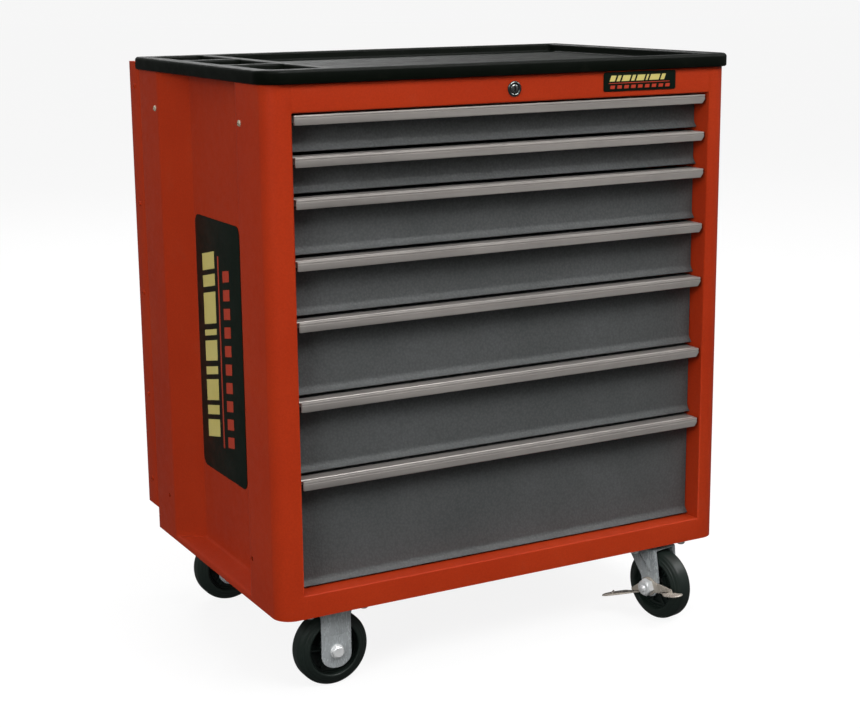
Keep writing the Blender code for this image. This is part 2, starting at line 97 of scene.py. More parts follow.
def loft(sections, cap=True, ring=False):
    bm = bmesh.new()
    rows = [[bm.verts.new(p) for p in s] for s in sections]
    n = len(rows[0])
    pairs = list(zip(rows[:-1], rows[1:]))
    if ring:
        pairs.append((rows[-1], rows[0]))
    for a, b in pairs:
        for i in range(n):
            j = (i + 1) % n
            bm.faces.new((a[i], a[j], b[j], b[i]))
    if cap and not ring:
        bm.faces.new(rows[0])
        bm.faces.new(rows[-1])
    return outward(bm)


def put(axis, a, b, t):
    return (t, a, b) if axis == "x" else (a, t, b) if axis == "y" else (a, b, t)


def prism(pts, axis, lo, hi):
    return loft([[put(axis, p[0], p[1], t) for p in pts] for t in (lo, hi)])


def slab(pts, axis, lo, hi, r, n=3):
    """Extruded outline whose two rims are rounded by r."""
    out = []
    for k in range(n + 1):
        a = math.pi / 2 * k / n
        out.append((lo + r * (1 - math.sin(a)), r * (1 - math.cos(a))))
    steps = [(t, d) for t, d in reversed(out)] + [(hi - (t - lo), d) for t, d in out]
    c = poly_area(pts)
    return loft([[put(axis, q[0], q[1], t) for q in offset(pts, d if c > 0 else -d, True)] for t, d in steps])


def poly_area(p):
    return sum(p[i - 1][0] * p[i][1] - p[i][0] * p[i - 1][1] for i in range(len(p))) / 2


def box(x0, x1, y0, y1, z0, z1):
    return prism([(x0, y0), (x1, y0), (x1, y1), (x0, y1)], "z", z0, z1)


def disc(axis, ca, cb, r, lo, hi, seg=48, phase=0.0):
    pts = [(ca + r * math.cos(phase + 2 * math.pi * i / seg),
            cb + r * math.sin(phase + 2 * math.pi * i / seg)) for i in range(seg)]
    return prism(pts, axis, lo, hi)


def turned(profile, seg=72):
    secs = []
    for i in range(seg):
        a = 2 * math.pi * i / seg
        secs.append([(r * math.cos(a), r * math.sin(a), h) for r, h in profile])
    return loft(secs, ring=True)


def spun(profile, seg=48):
    """Revolve an open (radius, height) outline that starts and ends on the axis."""
    bm = bmesh.new()
    first = bm.verts.new((0, 0, profile[0][1]))
    last = bm.verts.new((0, 0, profile[-1][1]))
    rows = [[bm.verts.new((r * math.cos(2 * math.pi * i / seg), r * math.sin(2 * math.pi * i / seg), h))
             for i in range(seg)] for r, h in profile[1:-1]]
    for i in range(seg):
        j = (i + 1) % seg
        bm.faces.new((first, rows[0][i], rows[0][j]))
        bm.faces.new((last, rows[-1][j], rows[-1][i]))
        for a, b in zip(rows[:-1], rows[1:]):
            bm.faces.new((a[i], b[i], b[j], a[j]))
    return outward(bm)


def offset(path, d, closed=False):
    n = len(path)
    out = []
    for i in range(n):
        p = Vector(path[i])
        if closed:
            a, b = Vector(path[i - 1]), Vector(path[(i + 1) % n])
        else:
            a = Vector(path[i - 1]) if i > 0 else None
            b = Vector(path[i + 1]) if i < n - 1 else None
        ns = []
        for u, v in ((a, p), (p, b)):
            if u is None or v is None or (v - u).length < 1e-6:
                continue
            e = (v - u).normalized()
            ns.append(Vector((-e.y, e.x)))
        if len(ns) == 1:
            out.append(tuple(p + ns[0] * d))
        else:
            m = ns[0] + ns[1]
            out.append(tuple(p + m * (d * 2.0 / max(m.length_squared, 0.4))))
    return out


def sheet(path, t):
    return list(path) + list(reversed(offset(path, t)))


def soften(path, t, n=4, closed=False):
    """Round each corner of a polyline; t is one length or one per point."""
    m = len(path)
    out = []
    for i, p in enumerate(path):
        ti = t[i] if isinstance(t, (list, tuple)) else t
        if (not closed and i in (0, m - 1)) or ti <= 0.0:
            out.append(tuple(p))
            continue
        p = Vector(p)
        a, b = Vector(path[i - 1]), Vector(path[(i + 1) % m])
        la, lb = (a - p).length, (b - p).length
        k = min(ti, la * 0.48, lb * 0.48)
        s, e = p + (a - p) * (k / la), p + (b - p) * (k / lb)
        for j in range(n + 1):
            u = j / n
            out.append(tuple(s * (1 - u) ** 2 + p * (2 * u * (1 - u)) + e * u ** 2))
    return out


def rounded(x0, x1, y0, y1, r, seg=8):
    rs = r if isinstance(r, (list, tuple)) else (r, r, r, r)
    out = []
    for (cx, cy, sx, sy, a0), rr in zip(
            ((x0, y0, 1, 1, 180.0), (x1, y0, -1, 1, 270.0),
             (x1, y1, -1, -1, 0.0), (x0, y1, 1, -1, 90.0)), rs):
        if rr <= 0.0:
            out.append((cx, cy))
            continue
        mx, my = cx + sx * rr, cy + sy * rr
        for i in range(seg + 1):
            a = math.radians(a0 + 90.0 * i / seg)
            out.append((mx + rr * math.cos(a), my + rr * math.sin(a)))
    return out


def pan(outline, axis, lo, hi, floor, t, r=2.0):
    """Open tray with a rounded foot edge and a rounded rim."""
    s = math.copysign(1.0, hi - lo)
    rows = []
    for k in range(5):
        a = math.pi / 2 * k / 4
        rows.append((offset(outline, r * (1 - math.sin(a)), True), lo + s * r * (1 - math.cos(a))))
    rows.append((outline, hi - s * t * 0.4))
    rows.append((offset(outline, t * 0.3, True), hi))
    rows.append((offset(outline, t * 0.7, True), hi))
    rows.append((offset(outline, t, True), hi - s * t * 0.4))
    inner = offset(outline, t, True)
    for k in range(4):
        a = math.pi / 2 * k / 3
        rows.append((offset(inner, r * 0.7 * (1 - math.cos(a)), True),
                     lo + s * (floor + r * 0.7 * (1 - math.sin(a)))))
    return loft([[put(axis, p[0], p[1], k) for p in q] for q, k in rows])


def combine(a, b, op="UNION"):
    obs = []
    for k, bm in (("a", a), ("b", b)):
        outward(bm)
        me = bpy.data.meshes.new("tmp_" + k)
        bm.to_mesh(me)
        bm.free()
        ob = bpy.data.objects.new("tmp_" + k, me)
        bpy.context.scene.collection.objects.link(ob)
        obs.append(ob)
    mod = obs[0].modifiers.new("cut", "BOOLEAN")
    mod.operation = op
    mod.solver = "EXACT"
    mod.object = obs[1]
    dg = bpy.context.evaluated_depsgraph_get()
    dg.update()
    res = bmesh.new()
    ev = obs[0].evaluated_get(dg)
    me = ev.to_mesh()
    res.from_mesh(me)
    ev.to_mesh_clear()
    for ob in obs:
        md = ob.data
        bpy.data.objects.remove(ob, do_unlink=True)
        bpy.data.meshes.remove(md)
    return res


def cut(a, *cutters):
    for c in cutters:
        a = combine(a, c, "DIFFERENCE")
    return a


def join(*parts):
    """Several closed shells in one mesh."""
    out = bmesh.new()
    for p in parts:
        me = bpy.data.meshes.new("tmp")
        p.to_mesh(me)
        p.free()
        out.from_mesh(me)
        bpy.data.meshes.remove(me)
    return out


def mirror_x(bm):
    for v in bm.verts:
        v.co.x = -v.co.x
    bmesh.ops.reverse_faces(bm, faces=bm.faces)
    return bm


def move(bm, m):
    bm.transform(m)
    if m.to_3x3().determinant() < 0:
        bmesh.ops.reverse_faces(bm, faces=bm.faces)
    return bm


def piece(name, bm, mat, body, stands=(), bevel=0.0, segs=3, sharp=40.0):
    for v in bm.verts:
        v.co = W(v.co)
    me = bpy.data.meshes.new(name)
    bm.to_mesh(me)
    bm.free()
    me.materials.append(mat)
    me.shade_smooth()
    me.set_sharp_from_angle(angle=math.radians(sharp))
    ob = bpy.data.objects.new(name, me)
    bpy.context.scene.collection.objects.link(ob)
    if bevel > 0.0:
        b = ob.modifiers.new("soft_edges", "BEVEL")
        b.width = bevel * 0.001
        b.segments = segs
        b.limit_method = "ANGLE"
        b.angle_limit = math.radians(32.0)
        b.harden_normals = True
    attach(ob, body)
    if stands:
        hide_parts(*stands)
    return ob


# ---------------------------------------------------------------- materials
def srgb(h):
    c = [int(h[i:i + 2], 16) / 255.0 for i in (1, 3, 5)]
    return tuple(x / 12.92 if x <= 0.04045 else ((x + 0.055) / 1.055) ** 2.4 for x in c) + (1.0,)


class Mat:
    """Small builder for procedural surfaces in object coordinates."""

    def __init__(self, name):
        self.m = bpy.data.materials.new(name)
        self.m.use_nodes = True
        self.t = self.m.node_tree
        self.b = self.t.nodes["Principled BSDF"]
        self.co = self.t.nodes.new("ShaderNodeTexCoord").outputs["Object"]

    def node(self, kind, **kw):
        n = self.t.nodes.new(kind)
        for k, v in kw.items():
            if k in n.inputs:
                if hasattr(v, "is_linked"):
                    self.t.links.new(v, n.inputs[k])
                else:
                    n.inputs[k].default_value = v
            else:
                setattr(n, k, v)
        return n

    def coords(self, sx=1.0, sy=1.0, sz=1.0):
        n = self.node("ShaderNodeMapping")
        self.t.links.new(self.co, n.inputs["Vector"])
        n.inputs["Scale"].default_value = (sx, sy, sz)
        return n.outputs["Vector"]

    def noise(self, scale, detail=3.0, rough=0.55, stretch=(1.0, 1.0, 1.0)):
        return self.node("ShaderNodeTexNoise", Vector=self.coords(*stretch), Scale=scale,
                         Detail=detail, Roughness=rough).outputs["Fac"]

    def ramp(self, fac, stops):
        n = self.node("ShaderNodeValToRGB")
        self.t.links.new(fac, n.inputs["Fac"])
        el = n.color_ramp.elements
        while len(el) < len(stops):
            el.new(0.5)
        for e, (p, c) in zip(el, stops):
            e.position = p
            e.color = c if len(c) == 4 else (c[0], c[1], c[2], 1.0)
        return n.outputs["Color"]

    def span(self, fac, a0, a1, b0, b1):
        n = self.node("ShaderNodeMapRange")
        self.t.links.new(fac, n.inputs["Value"])
        for k, v in (("From Min", a0), ("From Max", a1), ("To Min", b0), ("To Max", b1)):
            n.inputs[k].default_value = v
        return n.outputs["Result"]

    def mix(self, fac, a, b, mode="MIX"):
        n = self.t.nodes.new("ShaderNodeMix")
        n.data_type = "RGBA"
        n.blend_type = mode
        for sock, v in ((n.inputs[0], fac), (n.inputs[6], a), (n.inputs[7], b)):
            if hasattr(v, "is_linked"):
                self.t.links.new(v, sock)
            else:
                sock.default_value = v
        return n.outputs[2]

    def bump(self, height, strength, distance, below=None):
        n = self.node("ShaderNodeBump", Strength=strength, Distance=distance)
        self.t.links.new(height, n.inputs["Height"])
        if below is not None:
            self.t.links.new(below, n.inputs["Normal"])
        return n.outputs["Normal"]

    def set(self, **kw):
        for k, v in kw.items():
            s = self.b.inputs[k.replace("_", " ")]
            if hasattr(v, "is_linked"):
                self.t.links.new(v, s)
            else:
                s.default_value = v
        return self


def paint(name, deep, mid, light, rough=0.42, peel=0.10, coat=0.15):
    """Powder coat: cloudy tone, fine orange peel, worn and dusty patches."""
    m = Mat(name)
    cloud = m.noise(3.2, 4.0, 0.6)
    tone = m.ramp(cloud, [(0.25, srgb(deep)), (0.5, srgb(mid)), (0.78, srgb(light))])
    fleck = m.ramp(m.noise(420.0, 2.0, 0.7), [(0.35, (0.78, 0.78, 0.78)), (0.65, (1.0, 1.0, 1.0))])
    col = m.mix(0.55, tone, fleck, "MULTIPLY")
    dust = m.span(m.noise(26.0, 5.0, 0.7), 0.58, 0.85, 0.0, 0.08)
    col = m.mix(dust, col, srgb("#8a6a58"))
    grain = m.noise(650.0, 3.0, 0.6)
    wavy = m.noise(38.0, 2.0, 0.5)
    n1 = m.bump(wavy, 0.10, 0.0006)
    n2 = m.bump(grain, peel, 0.0004, n1)
    r = m.span(m.noise(60.0, 5.0, 0.7), 0.3, 0.75, rough - 0.07, rough + 0.10)
    m.set(Base_Color=col, Roughness=r, Normal=n2, Metallic=0.0, Specular_IOR_Level=0.14, Coat_Weight=coat)
    return m.m


def wrinkle(name, deep, mid, light, rough=0.5):
    """Textured powder coat with a fine wrinkle."""
    m = Mat(name)
    cell = m.node("ShaderNodeTexVoronoi", Vector=m.coords(), Scale=310.0)
    cells = cell.outputs["Distance"]
    cloud = m.noise(5.0, 4.0, 0.6)
    tone = m.ramp(cloud, [(0.25, srgb(deep)), (0.5, srgb(mid)), (0.8, srgb(light))])
    pits = m.ramp(cells, [(0.0, (1.0, 1.0, 1.0)), (0.8, (0.56, 0.56, 0.57))])
    col = m.mix(0.62, tone, pits, "MULTIPLY")
    n1 = m.bump(cells, 0.40, 0.0009)
    n2 = m.bump(m.noise(230.0, 4.0, 0.65), 0.34, 0.0010, n1)
    r = m.span(m.noise(90.0, 4.0, 0.6), 0.3, 0.7, rough - 0.08, rough + 0.10)
    m.set(Base_Color=col, Roughness=r, Normal=n2, Metallic=0.0, Specular_IOR_Level=0.3)
    return m.m


def metal(name, deep, light, rough=0.35, stretch=(1.0, 1.0, 1.0), grain=160.0, metallic=0.85, blotch=7.0, depth=0.10):
    """Brushed or plated metal: drawn grain, cloudy plating, scratches."""
    m = Mat(name)
    line = m.noise(grain, 4.0, 0.65, stretch)
    cloud = m.noise(blotch, 5.0, 0.7)
    tone = m.ramp(cloud, [(0.3, srgb(deep)), (0.7, srgb(light))])
    streak = m.ramp(line, [(0.3, (0.80, 0.80, 0.80)), (0.7, (1.0, 1.0, 1.0))])
    col = m.mix(0.5, tone, streak, "MULTIPLY")
    fine = m.noise(grain * 5.0, 2.0, 0.6, stretch)
    r = m.span(m.mix(0.5, line, fine), 0.3, 0.7, rough - 0.08, rough + 0.12)
    n = m.bump(line, depth, 0.0003)
    m.set(Base_Color=col, Roughness=r, Normal=n, Metallic=metallic)
    return m.m


def moulded(name, deep, light, rough=0.4, grain=900.0, depth=0.12, spec=0.5):
    """Moulded plastic or rubber: fine grain, faint scuffs and dust."""
    m = Mat(name)
    tone = m.ramp(m.noise(6.0, 4.0, 0.6), [(0.3, srgb(deep)), (0.7, srgb(light))])
    scuff = m.span(m.noise(48.0, 6.0, 0.75, (1.0, 2.2, 1.0)), 0.58, 0.88, 0.0, 0.14)
    col = m.mix(scuff, tone, srgb("#4a463e"))
    n = m.bump(m.noise(grain, 3.0, 0.6), depth, 0.0003)
    r = m.span(m.noise(34.0, 5.0, 0.7), 0.3, 0.75, rough - 0.08, rough + 0.12)
    m.set(Base_Color=col, Roughness=r, Normal=n, Metallic=0.0, Specular_IOR_Level=spec)
    return m.m


RED = paint("coat_red", "#a32d11", "#ac3314", "#b53a18", 0.42, 0.10, 0.0)
RED_IN = paint("coat_red_inside", "#86240e", "#922a12", "#9c3116", 0.5, 0.14, 0.0)
GREY = wrinkle("coat_wrinkle_grey", "#4a4d4d", "#525454", "#5b5d5e")
GREY_IN = paint("coat_grey_inside", "#34383a", "#3c4143", "#44494b", 0.48, 0.12, 0.0)
ALU = metal("grip_aluminium", "#9d9894", "#b4aea9", 0.40, (0.02, 1.0, 1.0), 900.0, 0.55, 5.0, 0.10)
BLACK = moulded("tray_black", "#040804", "#080d08", 0.44, 900.0, 0.14, spec=0.10)
ZINC = metal("slide_zinc", "#8a8e8e", "#b4b8b8", 0.34, (1.0, 0.05, 1.0), 240.0, 0.75)
BRACKET = metal("bracket_zinc", "#a8aeb0", "#ccd1d3", 0.24, (1.0, 1.0, 0.25), 110.0, 0.3, 13.0, 0.05)
LEVER = metal("lever_zinc", "#a89f92", "#d2cbc0", 0.22, (1.0, 1.0, 0.6), 60.0, 0.35, 24.0, 0.02)
BOLT = metal("bolt_zinc", "#dfe2e3", "#fbfcfc", 0.16, (1.0, 1.0, 1.0), 120.0, 0.35, 50.0, 0.02)
TYRE = moulded("tyre_rubber", "#131a17", "#1f2824", 0.40, 600.0, 0.2, spec=0.35)
HUB = moulded("hub_plastic", "#0f1513", "#1b2320", 0.34, 500.0, 0.12, spec=0.35)
CHROME = metal("lock_chrome", "#5c605e", "#8a8f8c", 0.12, (1.0, 1.0, 1.0), 500.0, 1.0, 90.0, 0.04)
PLUG = metal("plug_steel", "#7b7e7c", "#a7aaa8", 0.18, (0.3, 1.0, 1.0), 600.0, 1.0, 120.0, 0.05)
SCREW = metal("screw_zinc", "#cbbfa6", "#f1e8d4", 0.24, (1.0, 1.0, 1.0), 500.0, 0.55, 90.0)
FILM = moulded("label_film", "#08120c", "#0e1a12", 0.42, 1200.0, 0.05, spec=0.12)
YELLOW = moulded("ink_yellow", "#c9bb68", "#d8cc80", 0.4, 900.0, 0.06)
INK_RED = moulded("ink_red", "#a8321c", "#ba3d22", 0.4, 900.0, 0.06)

# ---------------------------------------------------------------- cabinet body
HALF, DEPTH, TALL, SHEET, CORNER = 340.0, 440.0, 665.0, 1.2, 24.0
STILE, JAMB, RECESS = 306.0, 45.0, 25.0
RY = (92.0, 150.0, 312.0, 370.0)


def side_shell():
    arc = []
    for i in range(1, 13):
        a = math.radians(180.0 + 90.0 * i / 13)
        arc.append((-HALF + CORNER + CORNER * math.cos(a), CORNER + CORNER * math.sin(a)))
    levels = soften([(0.0, 0.0), (8.0, 0.0), (18.0, RECESS), (TALL, RECESS)], 4.0, 5)
    extra = [z for z in (31.0, 31.6, 330.0, 630.4, 631.0)]
    levels = sorted(set(levels + [(z, RECESS) for z in extra]))
    secs = []
    for z, r in levels:
        x = -HALF
        y1, y2 = RY[0] + 3.0 + 55.0 * r / RECESS, RY[3] - 3.0 - 55.0 * r / RECESS
        path = [(x + 1.5, DEPTH + 30.0), (x + 1.5, DEPTH), (x, DEPTH),
                (x, RY[3]), (x + r, y2), (x + r, y1), (x, RY[0]), (x, CORNER)]
        path += arc + [(-HALF + CORNER, 0.0), (-STILE, 0.0), (-STILE, JAMB)]
        t = [0, 0, 0.4, 3.5, 3.5, 3.5, 3.5, 0] + [0] * len(arc)
        t += [0, 2.2 if 31.3 < z < 630.7 else 0.05, 0]
        secs.append([(p[0], p[1], z) for p in sheet(soften(path, t, 5), SHEET)])
    bm = loft(secs)
    bm = cut(bm, box(-345.0, -330.0, DEPTH + 0.05, DEPTH + 60.0, -5.0, 31.5),
             disc("x", 390.0, 62.0, 3.1, -350.0, -330.0, 24),
             disc("x", 86.0, 60.0, 3.1, -350.0, -330.0, 24))
    return bm


piece("left_side_shell", side_shell(), RED, "root", ["left_side_panel"], sharp=50)
piece("right_side_shell", mirror_x(side_shell()), RED, "root", ["right_side_panel"], sharp=50)

top_z0 = TALL - 34.0
bm = prism(sheet(soften([(22.0, TALL), (0.0, TALL), (0.0, top_z0), (29.0, top_z0), (29.0, top_z0 + 9.0)],
                        [0, 1.5, 2.2, 1.5, 0], 5), SHEET), "x", -STILE, STILE)
bm = cut(bm, disc("y", 0.0, 648.0, 9.0, -5.0, 5.0, 40))
piece("top_rail_shell", bm, RED, "root", ["top_rail"], sharp=50)
bm = prism(sheet(soften([(29.0, 20.0), (29.0, 31.0), (0.0, 31.0), (0.0, 0.0)], [0, 1.5, 2.2, 0], 5), SHEET),
           "x", -STILE, STILE)
piece("bottom_rail_shell", bm, RED, "root", ["bottom_rail"], sharp=50)

outline = rounded(-338.4, 338.4, 1.6, 438.4, (23.0, 23.0, 1.0, 1.0), 8)
base = pan(outline, "z", 0.0, 7.5, 1.5, 1.5, 1.2)
# pressed stiffening swages in the underside, between the caster plates
for y0, y1 in ((118.0, 148.0), (208.0, 238.0), (298.0, 328.0)):
    cutter = loft([[(x, y, z) for x, y in offset(rounded(-270.0, 270.0, y0, y1, 12.0, 6), d, True)]
                   for z, d in ((-1.0, 0.0), (0.0, 0.0), (0.9, 5.0))])
    base = cut(base, cutter)
piece("base_tray", base, RED_IN, "root", ["base_panel"], sharp=50)

outline = [(-HALF, 30.0), (HALF, 30.0), (HALF, 675.0), (-HALF, 675.0)]
cover = pan(outline, "y", DEPTH + 42.0, DEPTH + 0.3, SHEET, SHEET, 2.0)
# shallow pressed field in the back
field = loft([[(x, y, z) for x, z in offset(rounded(-285.0, 285.0, 80.0, 625.0, 18.0, 6), d, True)]
              for y, d in ((483.0, 0.0), (482.0, 0.0), (481.1, 6.0))])
cover = cut(cover, field)
piece("rear_cover_shell", cover, RED, "root", ["rear_cover"], sharp=50)

# ---------------------------------------------------------------- tray worktop
POCKETS = ((-239.0, 324.0, 14.0, 426.0), (-326.0, -255.0, 14.0, 142.0),
           (-326.0, -255.0, 155.0, 283.0), (-326.0, -255.0, 296.0, 424.0))
outline = rounded(-346.0, 346.0, -6.0, 439.7, (30.0, 30.0, 3.0, 3.0), 14)
rows = [(665.3, 1.5), (666.0, 0.5), (667.0, 0.0)]
for k in range(7):
    a = math.pi / 2 * k / 6
    rows.append((682.5 - 4.5 + 4.5 * math.sin(a), 4.5 * (1 - math.cos(a))))
tray = loft([[(x, y, z) for x, y in offset(outline, d, True)] for z, d in rows])
for x0, x1, y0, y1 in POCKETS:
    ring = rounded(x0, x1, y0, y1, 9.0, 8)
    rows = []
    for k in range(5):
        a = math.pi / 2 * k / 4
        rows.append((670.5 + 3.0 * (1 - math.cos(a)), 3.0 * (1 - math.sin(a))))
    for k in range(6):
        a = math.pi / 2 * k / 5
        rows.append((682.5 - 3.2 * (1 - math.sin(a)), -3.2 * (1 - math.cos(a))))
    rows.append((690.0, -3.2))
    tray = cut(tray, loft([[(x, y, z) for x, y in offset(ring, d, True)] for z, d in rows]))
piece("worktop_tray", tray, BLACK, "root", ["worktop"], sharp=48)

# ---------------------------------------------------------------- uprights, rails
for where, (y0, y1) in (("front", (48.0, 88.0)), ("rear", (374.0, 430.0))):
    for side in ("left", "right"):
        path = soften([(-337.5, y0), (-304.3, y0), (-304.3, y1), (-337.5, y1)], 3.0, 4)
        bm = prism(sheet(path, 1.5), "z", 9.0, 655.0)
        slots = [slab(rounded(y0 + 14.0, y1 - 14.0, z, z + 14.0, 5.9, 5), "x", -312.0, -298.0, 0.1)
                 for z in range(60, 640, 50)]
        bm = cut(bm, join(*slots))
        if side == "right":
            bm = mirror_x(bm)
        piece("upright_%s_%s" % (where, side), bm, RED_IN, "root", ["%s_%s_upright" % (where, side)])

MODULES = (50.0, 50.0, 75.0, 75.0, 100.0, 100.0, 150.0)
BOX_TOP = {50.0: 41.0, 75.0: 64.0, 100.0: 88.0, 150.0: 136.0}
z_top = top_z0
for k, h in enumerate(MODULES, 1):
    zb = z_top - h
    zr = zb + 24.0
    body = "drawer_%d" % k
    front = [(41.0, z_top - 2.5), (29.0, z_top - 2.5), (29.0, zb + 13.0)]
    for i in range(1, 9):
        s = i / 8.0
        front.append((29.0 - 6.0 * s * s, zb + 3.0 + 10.0 * (1.0 - s)))
    face = prism(sheet(soften(front, [0, 1.4, 3.0] + [0] * 8, 4), 1.2), "x", -305.0, 305.0)
    piece("drawer_%d_front" % k, face, GREY, body, ["drawer_%d" % k], 0.25, 2)
    ring = rounded(-289.5, 289.5, 30.2, 431.0, 2.0, 4)
    tub = pan(ring, "z", zb + 5.0, zb + BOX_TOP[h], 1.0, 1.0, 1.8)
    sides = []
    for sx in (-1.0, 1.0):
        c = sheet(soften([(-289.2, zr + 13.2), (-299.2, zr + 13.2), (-299.2, zr - 13.2), (-289.2, zr - 13.2)],
                         [0, 2.4, 2.4, 0], 4), 1.2)
        r = prism(c, "y", 52.0, 426.0)
        sides.append(mirror_x(r) if sx > 0 else r)
    piece("drawer_%d_box" % k, tub, GREY_IN, body, sharp=50)
    piece("drawer_%d_runners" % k, join(*sides), ZINC, body, bevel=0.2)

    # aluminium grip: top land, grooved nose, hanging lip, ends cut back
    y0, y1, zt, t = 2.0, 28.7, z_top - 2.5, 1.9

    def section(x, lip, pull):
        g = [(y1, zt), (y0 + 8.2, zt), (y0 + 7.7, zt - 0.7), (y0 + 6.2, zt - 0.7), (y0 + 5.7, zt),
             (y0 + pull + 0.9, zt), (y0 + pull + 0.25, zt - 0.3), (y0 + pull, zt - 0.9),
             (y0 + pull, zt - 2.4), (y0 + pull + 0.5, zt - 2.8), (y0 + pull + 0.5, zt - 3.5), (y0 + pull, zt - 3.9),
             (y0 + pull, zt - lip + 0.7), (y0 + pull + 0.5, zt - lip),
             (y0 + 2.6, zt - lip), (y0 + 2.9, zt - lip + 0.5), (y0 + 2.6, zt - lip + 1.4), (y0 + t, zt - lip + 2.0),
             (y0 + t, zt - t - 0.8), (y0 + t + 0.8, zt - t), (y1 - t - 0.8, zt - t), (y1 - t, zt - t - 0.8),
             (y1 - t, zt - 11.0), (y1, zt - 11.0)]
        return [(x, p[0], p[1]) for p in g]

    grip = loft([section(x, lip, pull) for x, lip, pull in
                 ((-302.4, 11.0, 0.9), (-302.0, 11.7, 0.25), (-301.2, 12.0, 0.0), (0.0, 12.0, 0.0),
                  (297.6, 12.0, 0.0), (298.4, 11.6, 0.0), (302.0, 7.0, 0.2), (302.6, 6.2, 0.8))])
    piece("drawer_%d_grip" % k, grip, ALU, body, ["drawer_%d_handle" % k], sharp=35)

    for side in ("left", "right"):
        c = sheet(soften([(-294.0, zr + 15.2), (-304.0, zr + 15.2), (-304.0, zr - 15.2), (-294.0, zr - 15.2)],
                         [0, 2.6, 2.6, 0], 4), 1.3)
        bm = prism(c, "y", 48.0, 428.0)
        if side == "right":
            bm = mirror_x(bm)
        piece("slide_%d_%s" % (k, side), bm, ZINC, "root", ["drawer_%d_rail_%s" % (k, side)], 0.2)
    z_top = zb

# ---------------------------------------------------------------- lock
at_lock = Matrix.Translation((0.0, 0.0, 648.0)) @ Matrix.Rotation(math.radians(-90.0), 4, "X")
prof = [(6.3, -1.2), (6.9, -1.9), (7.8, -2.2), (8.9, -1.9), (9.7, -1.2), (10.0, -0.5), (9.9, -0.3), (8.7, -0.3),
        (8.7, 24.0), (6.3, 24.0)]
piece("lock_barrel", move(turned(prof, 64), at_lock), CHROME, "root", ["lock_cylinder"])
face = spun([(0.0, -2.0), (3.0, -1.95), (5.0, -1.6), (5.8, -1.0), (6.0, -0.4), (6.0, 25.0), (0.0, 25.0)], 48)
slot = prism(rounded(-0.9, 0.9, 643.8, 652.2, 0.5, 3), "y", -5.0, 4.0)
plug = cut(move(face, at_lock), slot)
rod = disc("y", 0.0, 648.0, 2.5, 24.0, 434.5, 24)
arm = slab([(-3.0, 645.0), (11.0, 645.0), (14.0, 648.0), (11.0, 651.0), (-3.0, 651.0)], "y", 432.5, 435.5, 0.4)
piece("lock_plug_face", join(plug, rod, arm), PLUG, "lock", ["lock_plug"])

pts = [(433.0, 14.0), (435.0, 14.0), (435.0, 640.5), (433.0, 640.5)]
z_top = top_z0
for h in MODULES:
    top = z_top - h + BOX_TOP[h]
    pts += [(433.0, top + 11.0), (424.0, top + 11.0), (424.0, top + 2.0),
            (426.0, top + 2.0), (426.0, top + 9.0), (433.0, top + 9.0)]
    z_top -= h
bm = slab(pts, "x", -8.0, 8.0, 0.3, 2)
piece("lock_bar_strip", bm, ZINC, "lock_bar", ["lock_bar"])

# ---------------------------------------------------------------- badge and label
piece("badge_plate", slab(rounded(135.0, 250.0, 638.5, 663.5, 3.0, 6), "y", -1.1, -0.3, 0.25),
      FILM, "root", ["badge"])


def marks(spans, lo, hi, slant, put2, thick):
    """A row of slanted bars: spans along u, lo..hi across v."""
    out = []
    for a, b in spans:
        pts = [(a, lo), (b, lo), (b + slant, hi), (a + slant, hi)]
        out.append(put2(pts, thick))
    return join(*out)


def on_badge(pts, thick):
    return prism(pts, "y", -1.1 - thick, -1.0)


piece("badge_bars", marks([(144, 152), (155, 160), (163, 175), (178, 183), (186, 198), (201, 204), (207, 222), (225, 231)],
                          651.5, 659.0, 3.0, on_badge, 0.15), YELLOW, "root")
piece("badge_line", marks([(143, 240)], 648.6, 649.5, 0.0, on_badge, 0.15), INK_RED, "root")
piece("badge_dashes", marks([(145 + 11 * i, 145 + 11 * i + 7) for i in range(9)], 642.0, 646.2, 0.8, on_badge, 0.15),
      INK_RED, "root")

label = slab(rounded(154.0, 308.5, 128.0, 478.0, 12.0, 8), "x", -315.9, -315.3, 0.2)
piece("side_label_film", label, FILM, "root", ["side_label"])


def on_side(pts, thick):
    return prism([(230.0 + 35.0 - (v - 215.0) + 25.0, u) for u, v in pts], "x", -315.9 - thick, -315.8)


piece("side_label_bars", marks([(172, 196), (203, 216), (223, 252), (259, 270), (278, 306), (313, 321), (329, 372), (380, 396), (403, 426)],
                               219.0, 262.0, 9.0, on_side, 0.15), YELLOW, "root")
piece("side_label_line", marks([(168, 430)], 273.0, 277.0, 0.0, on_side, 0.15), INK_RED, "root")
piece("side_label_dashes", marks([(172 + 25 * i, 172 + 25 * i + 15) for i in range(10)], 290.0, 312.0, 4.0, on_side, 0.15),
      INK_RED, "root")


# ---------------------------------------------------------------- screws and bolts
def cross_head(r, h):
    """Pan head with a cross recess, its axis along -Z, base at z 0."""
    bm = spun([(0.0, h), (r * 0.35, h), (r * 0.7, h * 0.86), (r * 0.93, h * 0.5), (r, h * 0.1), (r, -0.6), (0.0, -0.6)], 32)
    for a in (0.0, 90.0):
        c = move(box(-r * 0.55, r * 0.55, -r * 0.11, r * 0.11, h * 0.35, h + 1.0), Matrix.Rotation(math.radians(a + 20.0), 4, "Z"))
        bm = cut(bm, c)
    return bm


